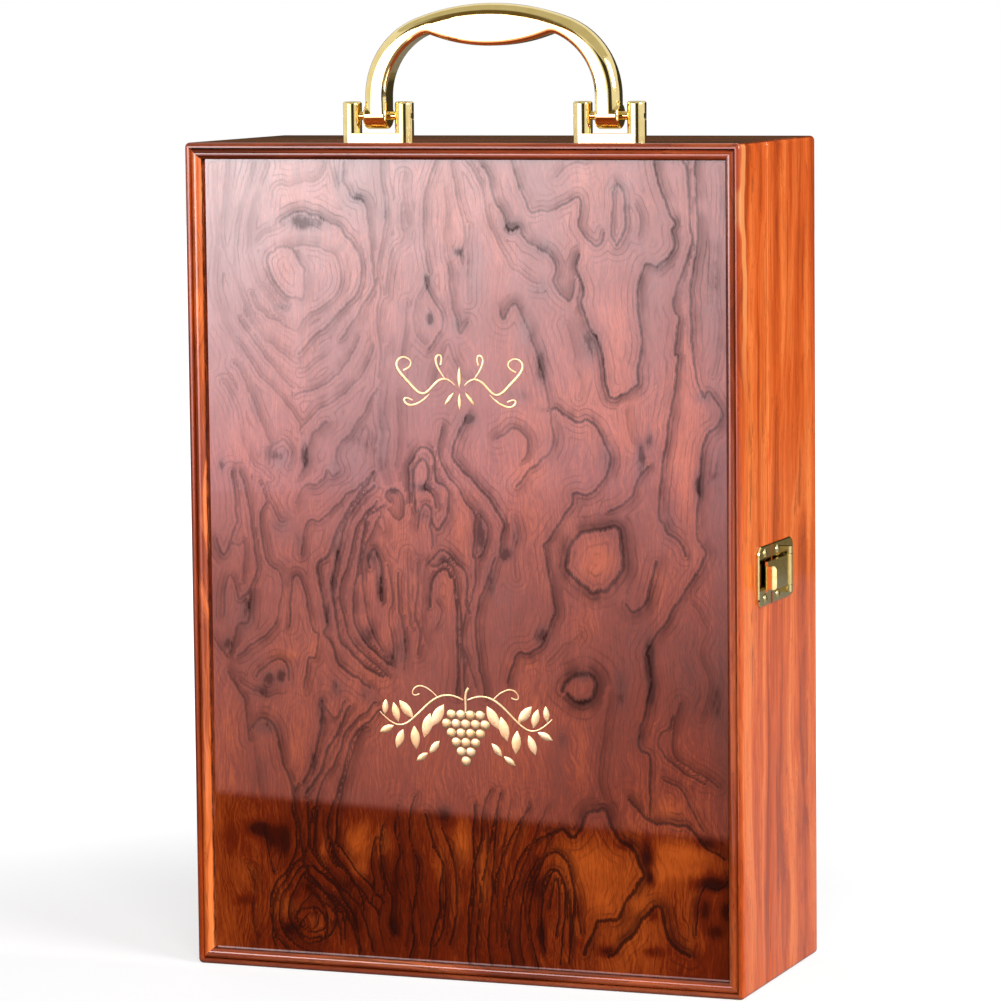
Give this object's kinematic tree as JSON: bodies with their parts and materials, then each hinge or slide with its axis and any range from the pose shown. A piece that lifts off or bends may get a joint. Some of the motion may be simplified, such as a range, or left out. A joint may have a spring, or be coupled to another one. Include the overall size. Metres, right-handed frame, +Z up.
{
  "type": "wine box",
  "caption": "Upright wooden gift box for wine bottles with a side-hung lid, glossy veneer front in a bead frame, gold carrying handle and side latch.",
  "frame": {"origin": "middle of the closed box's footprint, on the floor", "axes": "+X to the right towards the latch, +Y to the back, +Z up towards the handle"},
  "size_m": [0.258, 0.103, 0.407],
  "materials": {
    "case_wood": "gloss lacquer over straight-grained orange-red veneer",
    "panel_wood": "high-gloss lacquer over dark figured veneer with knots",
    "bead_wood": "gloss lacquer on red-brown wood",
    "gold_metal": "polished, pale gold plate",
    "steel": "plain zinc-plated",
    "flocking": "short dark wine-red flock over foam and board"
  },
  "bodies": {
    "case": {"case_bottom_wall": "case_wood", "case_right_wall": "case_wood", "case_top_wall": "case_wood", "case_left_wall": "case_wood", "back_panel": "case_wood", "bottle_tray": "flocking", "handle_bracket_left": "gold_metal", "handle_bracket_right": "gold_metal", "handle_pin_left": "gold_metal", "handle_pin_right": "gold_metal", "bracket_bolts": "steel", "hinge_case_leaf_lower": "gold_metal", "hinge_case_leaf_upper": "gold_metal", "hinge_pin_lower": "gold_metal", "hinge_pin_upper": "gold_metal", "hinge_case_screws": "gold_metal", "latch_base_plate": "gold_metal", "latch_base_plate_screws": "gold_metal", "latch_pin": "gold_metal"},
    "lid": {"lid_bottom_wall": "case_wood", "lid_right_wall": "case_wood", "lid_top_wall": "case_wood", "lid_left_wall": "case_wood", "front_panel": "panel_wood", "lid_lining": "flocking", "bead_bottom": "bead_wood", "bead_right": "bead_wood", "bead_top": "bead_wood", "bead_left": "bead_wood", "hinge_lid_leaf_lower": "gold_metal", "hinge_lid_leaf_upper": "gold_metal", "hinge_lid_screws": "gold_metal", "latch_catch_plate": "gold_metal", "latch_catch_plate_screws": "gold_metal"},
    "handle": {"carry_handle": "gold_metal"},
    "hasp": {"latch_hasp": "gold_metal"}
  },
  "joints": [
    {"name": "lid_open", "type": "hinge", "parent": "case", "child": "lid", "pos_m": [-0.125, -0.0155, 0.175], "axis": [0, 0, -1], "range_deg": [0, 180]},
    {"name": "handle_fold", "type": "hinge", "parent": "case", "child": "handle", "pos_m": [0, -0.008, 0.36], "axis": [1, 0, 0], "range_deg": [-90, 90]},
    {"name": "hasp_flip", "type": "hinge", "parent": "case", "child": "hasp", "pos_m": [0.12565, 0.0019, 0.172], "axis": [0, 0, 1], "range_deg": [0, 140]}
  ]
}
